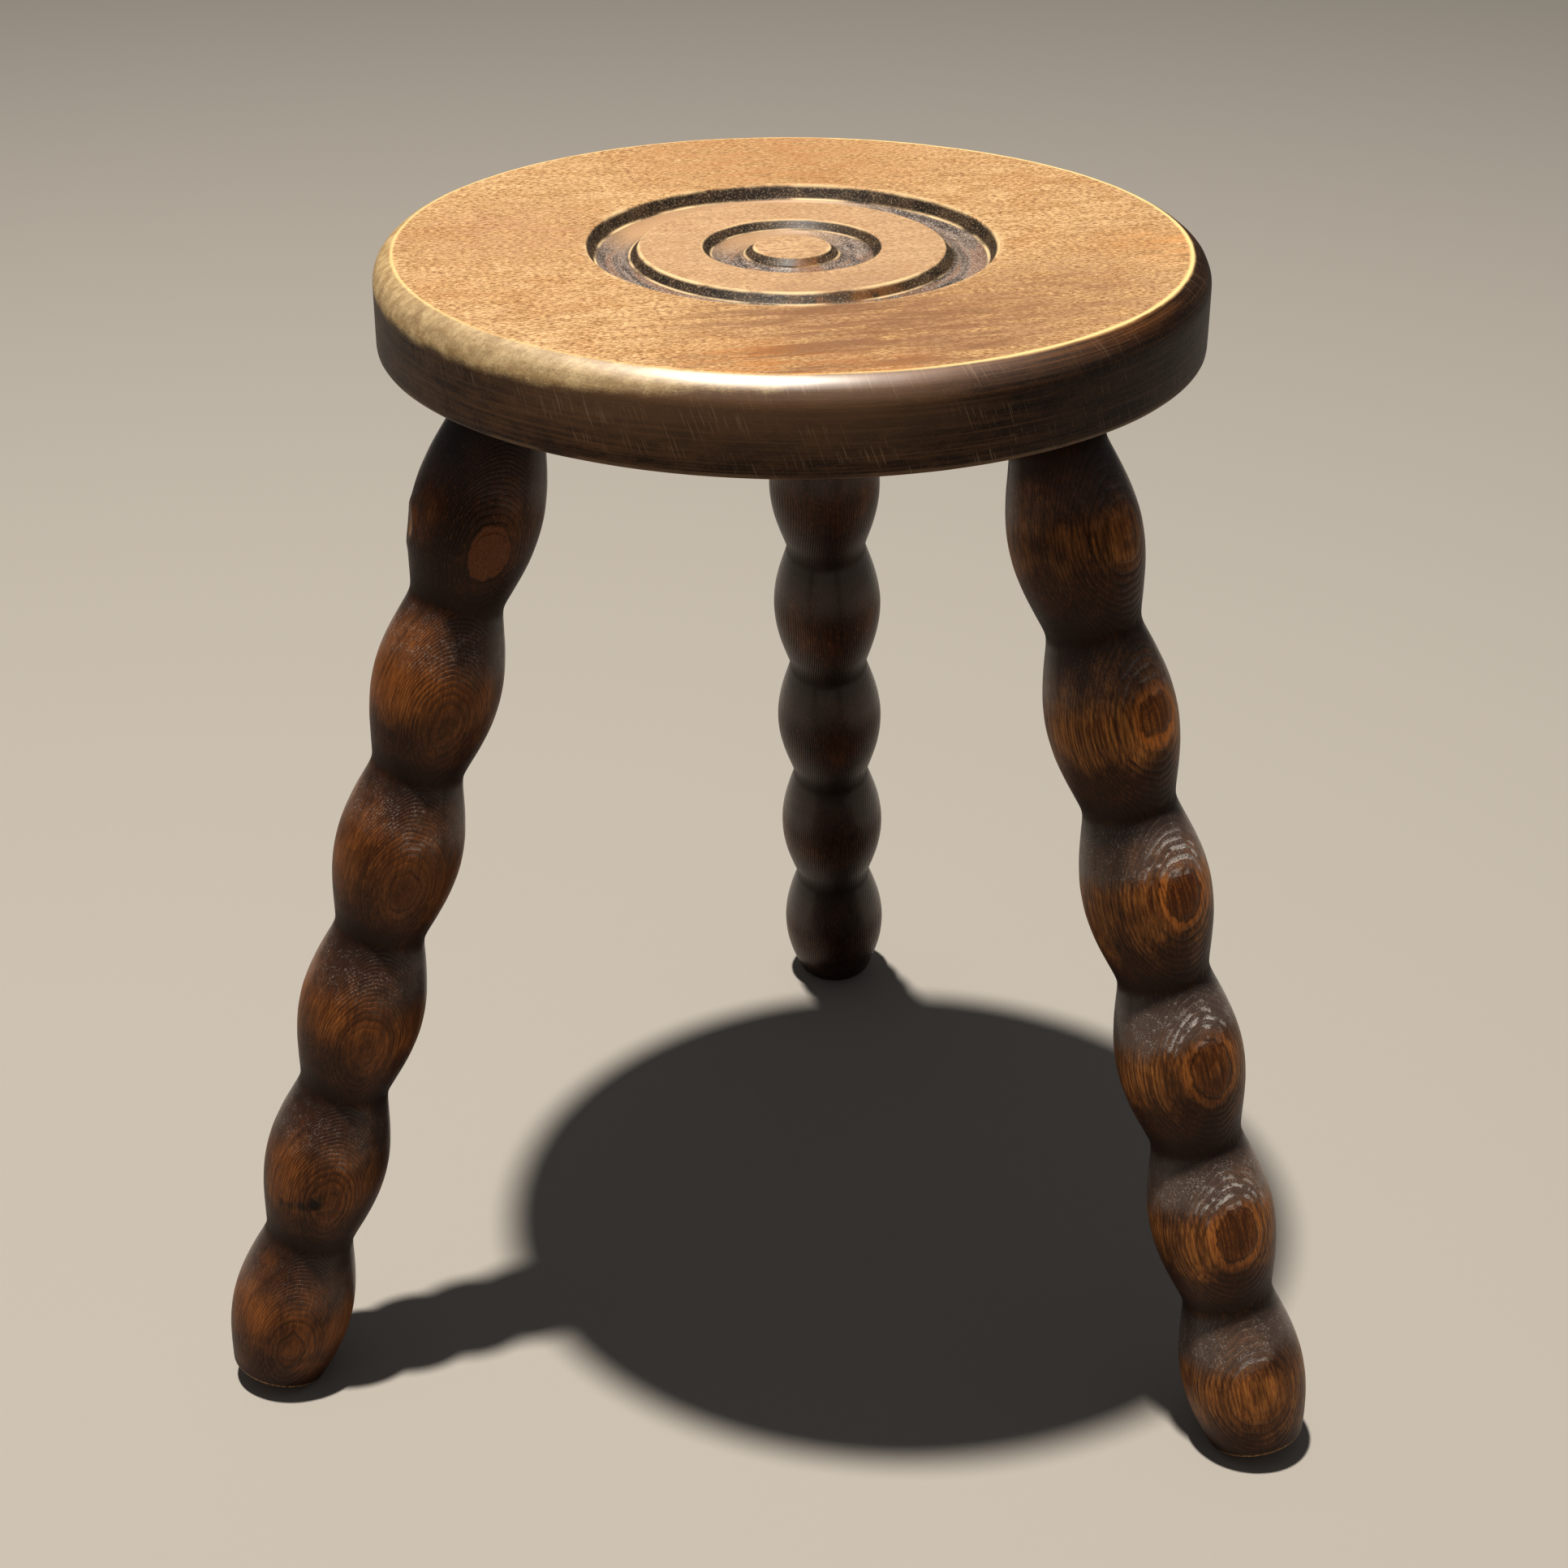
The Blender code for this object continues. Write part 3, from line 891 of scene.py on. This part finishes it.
# darker or warmer places on the flat: centre in mm from the seat's axis and underside, distances
# from it at which the patch is full and gone, colour, strength
SEAT_PATCHES = (
    ((2, -132, 33), 5, 36, srgb(172, 110, 52), 0.65),
    ((44, -129, 33), 6, 28, srgb(190, 128, 70), 0.45),
    ((-100, -5, 33), 8, 60, srgb(160, 114, 86), 0.45),
    ((45, -92, 33), 8, 66, srgb(140, 102, 76), 0.75),
    ((98, -52, 33), 8, 62, srgb(144, 104, 76), 0.70),
    ((138, 10, 33), 6, 34, srgb(206, 146, 84), 0.45),
    ((-20, 115, 33), 20, 90, srgb(174, 126, 84), 0.65),
)
# pale lines round the rings: rubbed on their upper edges, and painted highlights along the feet
# of their walls. Radius in mm, half width, strength
RING_WEAR_AND_HIGHLIGHTS = (
    (13.6, 0.8, 0.7),
    (17.1, 0.7, 0.6),
    (29.1, 0.7, 0.7),
    (32.4, 0.7, 0.5),
    (55.1, 0.9, 0.8),
    (58.4, 0.7, 0.8),
    (70.7, 0.8, 0.9),
    (73.9, 0.8, 0.6),
    (75.0, 1.4, 0.25),
)
# on the side: angle from the front in degrees (+ to the right), height, radius and depth
SEAT_DENTS = (
    (-21, 0.0190, 0.0022, 0.0006),
    (-52, 0.0205, 0.0018, 0.0004),
    (34, 0.0100, 0.0020, 0.0004),
)
LEG_ANGLES = {
    "leg_back_turned": math.radians(90),
    "leg_front_left_turned": math.radians(210),
    "leg_front_right_turned": math.radians(330),
}
# a chip and a knot: distance up the axis, direction from local +X in degrees, radius, depth
LEG_DENTS = {
    "leg_front_left_turned": ((0.3615, -12, 0.0060, 0.0018), (0.0925, 66, 0.0030, 0.0007)),
}
# their colours: the chip's bare wood, then the knot and the crack that runs from it. Centre in mm
# from the leg's floor point, distances at which the mark is full and gone, colour, strength
LEG_MARKS = {
    "leg_front_left_turned": (
        ((23.2, -4.8, 361.5), 2.0, 6.0, srgb(176, 130, 84), 0.85),
        ((9.0, 20.5, 92.5), 1.5, 3.6, srgb(20, 14, 12), 0.95),
        ((13.0, 18.5, 90.0), 1.0, 3.2, srgb(24, 16, 13), 0.8),
        ((16.5, 15.5, 88.5), 0.8, 2.6, srgb(28, 18, 14), 0.7),
        ((19.0, 12.0, 88.0), 0.6, 2.4, srgb(30, 19, 14), 0.6),
    ),
}
# low, high: where the pith line is near the foot and near the seat, as LegWood says.
# spacing, phase: distance between growth rings and their shift, in mm. seed: of all the noise.
# contrast: strength of the rings. greyed: how grey the painted sheen on the shoulders is.
# gold: stain where thinnest.
# heart: how far below a bead's crown its core and halo end, in mm, with their colours.
# Lists of six run from foot to seat. crowns: a shift that makes the bead's oval larger, in mm.
# stain_and_shade: how thin the stain is; low values are painted shade on the back leg and the top
# beads. shoulder_sheen: strength of the painted sheen and glints on the upper shoulder. cores,
# halos, edges: the strengths of the oval's parts.
LEG_WOOD = {
    "leg_back_turned": {
        "low": (78, 60), "high": (98, 50),
        "spacing": 0.9, "phase": 0.2, "seed": 7.3,
        "contrast": 0.5, "greyed": 0.1, "gold": srgb(160, 100, 50),
        "heart": (0.5, 0.9), "core_tone": srgb(104, 56, 26), "halo_tone": srgb(120, 66, 30),
        "crowns": (0.6, 0.2, 0.5, 0.3, 0.7, 0.2),
        # every bead low: painted shade over the whole back leg
        "stain_and_shade": (-0.50, -0.50, -0.55, -0.45, -0.50, -0.60),
        "shoulder_sheen": (0.1, 0.1, 0.1, 0.1, 0.1, 0.0),
        "cores": (0.5, 0.4, 0.6, 0.4, 0.5, 0.3),
        "halos": (0.3, 0.4, 0.2, 0.4, 0.3, 0.2),
        "edges": (0.5, 0.5, 0.4, 0.6, 0.4, 0.4),
    },
    "leg_front_left_turned": {
        "low": (76, 140), "high": (89, 92),
        "spacing": 0.62, "phase": 0.1, "seed": 1.7,
        "contrast": 0.65, "greyed": 0.2, "gold": srgb(166, 104, 52),
        "heart": (0.7, 1.1), "core_tone": srgb(132, 78, 40), "halo_tone": srgb(134, 86, 50),
        "crowns": (0.15, 0.75, 0.4, 0.35, 0.5, -0.1),
        # the top bead low: painted shade under the seat
        "stain_and_shade": (0.10, 0.00, 0.16, 0.28, 0.22, -0.36),
        "shoulder_sheen": (0.2, 0.5, 0.6, 0.7, 0.7, 0.2),
        "cores": (0.3, 0.0, 0.1, 0.2, 0.8, 0.8),
        "halos": (0.3, 0.0, 0.3, 1.0, 0.2, 0.0),
        "edges": (0.7, 0.1, 0.4, 0.55, 0.5, 0.7),
    },
    "leg_front_right_turned": {
        "low": (-50, 26), "high": (-6, 33),
        "spacing": 0.85, "phase": 0.3, "seed": 4.1,
        "contrast": 0.8, "greyed": 0.75, "gold": srgb(202, 136, 70),
        "heart": (0.5, 1.25), "core_tone": srgb(88, 48, 23), "halo_tone": srgb(196, 122, 56),
        "crowns": (1.7, -0.25, -0.3, 0.0, 0.15, 0.9),
        "stain_and_shade": (0.15, 0.14, 0.12, 0.18, 0.22, -0.05),
        "shoulder_sheen": (0.9, 1.0, 1.0, 0.9, 0.30, 0.15),
        "cores": (0.0, 0.85, 0.65, 0.95, 0.8, 0.2),
        "halos": (0.2, 0.5, 0.4, 0.8, 1.0, 0.3),
        "edges": (0.0, 0.8, 0.7, 0.7, 0.5, 0.5),
    },
}


# ---------------------------------------------------------------- scene

FLOOR_REACH = 12.0
FLOOR_GAP = 0.0002          # the floor lies just under the feet, so that the two never flicker

# The camera's place is from the point on the floor under the seat's axis. It stands a little to the
# right of the front, turned to the left by the azimuth, and looks down by the elevation.
CAMERA_PLACE = Vector((0.0978, -0.9580, 0.7286))
CAMERA_ELEVATION = math.radians(27.858)
CAMERA_AZIMUTH = math.radians(5.972)
CAMERA_ROLL = math.radians(0.129)
LENS = 63.15                # mm, on a sensor 36 mm wide
SENSOR = 36

KEY_PLACE = Vector((-0.37, -0.23, 3.9))     # from the same point as the camera's
KEY_SIZE = 0.18             # small, so that the shadow's edge is as crisp as it should be
KEY_POWER = 170
KEY_COLOR = (1.0, 0.95, 0.88)
FILL_COLOR = (0.96, 0.97, 1.0, 1.0)
FILL_STRENGTH = 0.12


def make_floor():
    r = FLOOR_REACH
    mesh = bpy.data.meshes.new("floor")
    mesh.from_pydata([(-r, -r, 0), (r, -r, 0), (r, r, 0), (-r, r, 0)], [], [(0, 1, 2, 3)])
    floor = bpy.data.objects.new("floor", mesh)
    bpy.context.scene.collection.objects.link(floor)
    floor.location.z = -FLOOR_GAP
    material = bpy.data.materials.new("floor_matte")
    material.use_nodes = True
    shader = material.node_tree.nodes["Principled BSDF"]
    shader.inputs["Base Color"].default_value = (*srgb(185, 180, 172), 1.0)
    shader.inputs["Roughness"].default_value = 0.9
    shader.inputs["Specular IOR Level"].default_value = 0.2
    mesh.materials.append(material)


def make_world():
    world = bpy.data.worlds.new("studio")
    world.use_nodes = True
    background = world.node_tree.nodes["Background"]
    background.inputs["Color"].default_value = FILL_COLOR
    background.inputs["Strength"].default_value = FILL_STRENGTH
    bpy.context.scene.world = world


def make_light():
    """One lamp high above the left front, aimed straight at the point under the seat."""
    data = bpy.data.lights.new("key", "AREA")
    data.shape = "DISK"
    data.size = KEY_SIZE
    data.energy = KEY_POWER
    data.color = KEY_COLOR
    light = bpy.data.objects.new("key", data)
    light.location = SEAT_AXIS.xy.to_3d() + KEY_PLACE
    light.rotation_euler = (-KEY_PLACE).to_track_quat("-Z", "Y").to_euler()
    bpy.context.scene.collection.objects.link(light)


def make_camera():
    data = bpy.data.cameras.new("camera")
    data.sensor_width = SENSOR
    data.lens = LENS
    camera = bpy.data.objects.new("camera", data)
    turn = Matrix.Rotation(CAMERA_AZIMUTH, 4, "Z")
    tilt = Matrix.Rotation(math.pi / 2 - CAMERA_ELEVATION, 4, "X")
    roll = Matrix.Rotation(CAMERA_ROLL, 4, "Z")
    place = Matrix.Translation(SEAT_AXIS.xy.to_3d() + CAMERA_PLACE)
    camera.matrix_world = place @ turn @ tilt @ roll
    bpy.context.scene.collection.objects.link(camera)
    bpy.context.scene.camera = camera


def set_tones():
    """A tone curve with the photograph's deep shadows."""
    view = bpy.context.scene.view_settings
    view.view_transform = "Standard"
    view.exposure = 0.15
    view.gamma = 0.85


def dress(piece, node, material):
    """Gives a piece its wood, and lets it stand for a CAD node."""
    piece.data.materials.clear()
    piece.data.materials.append(material)
    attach(piece, "root")
    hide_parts(node)


def main():
    make_camera()
    make_world()
    make_floor()
    make_light()
    set_tones()
    dress(make_seat(), "seat", SeatWood().build())
    for name, angle in LEG_ANGLES.items():
        wood = LEG_WOOD[name]
        leg = make_leg(name, angle, wood["seed"])
        material = LegWood(name, angle, wood).build()
        dress(leg, name.replace("_turned", ""), material)


main()
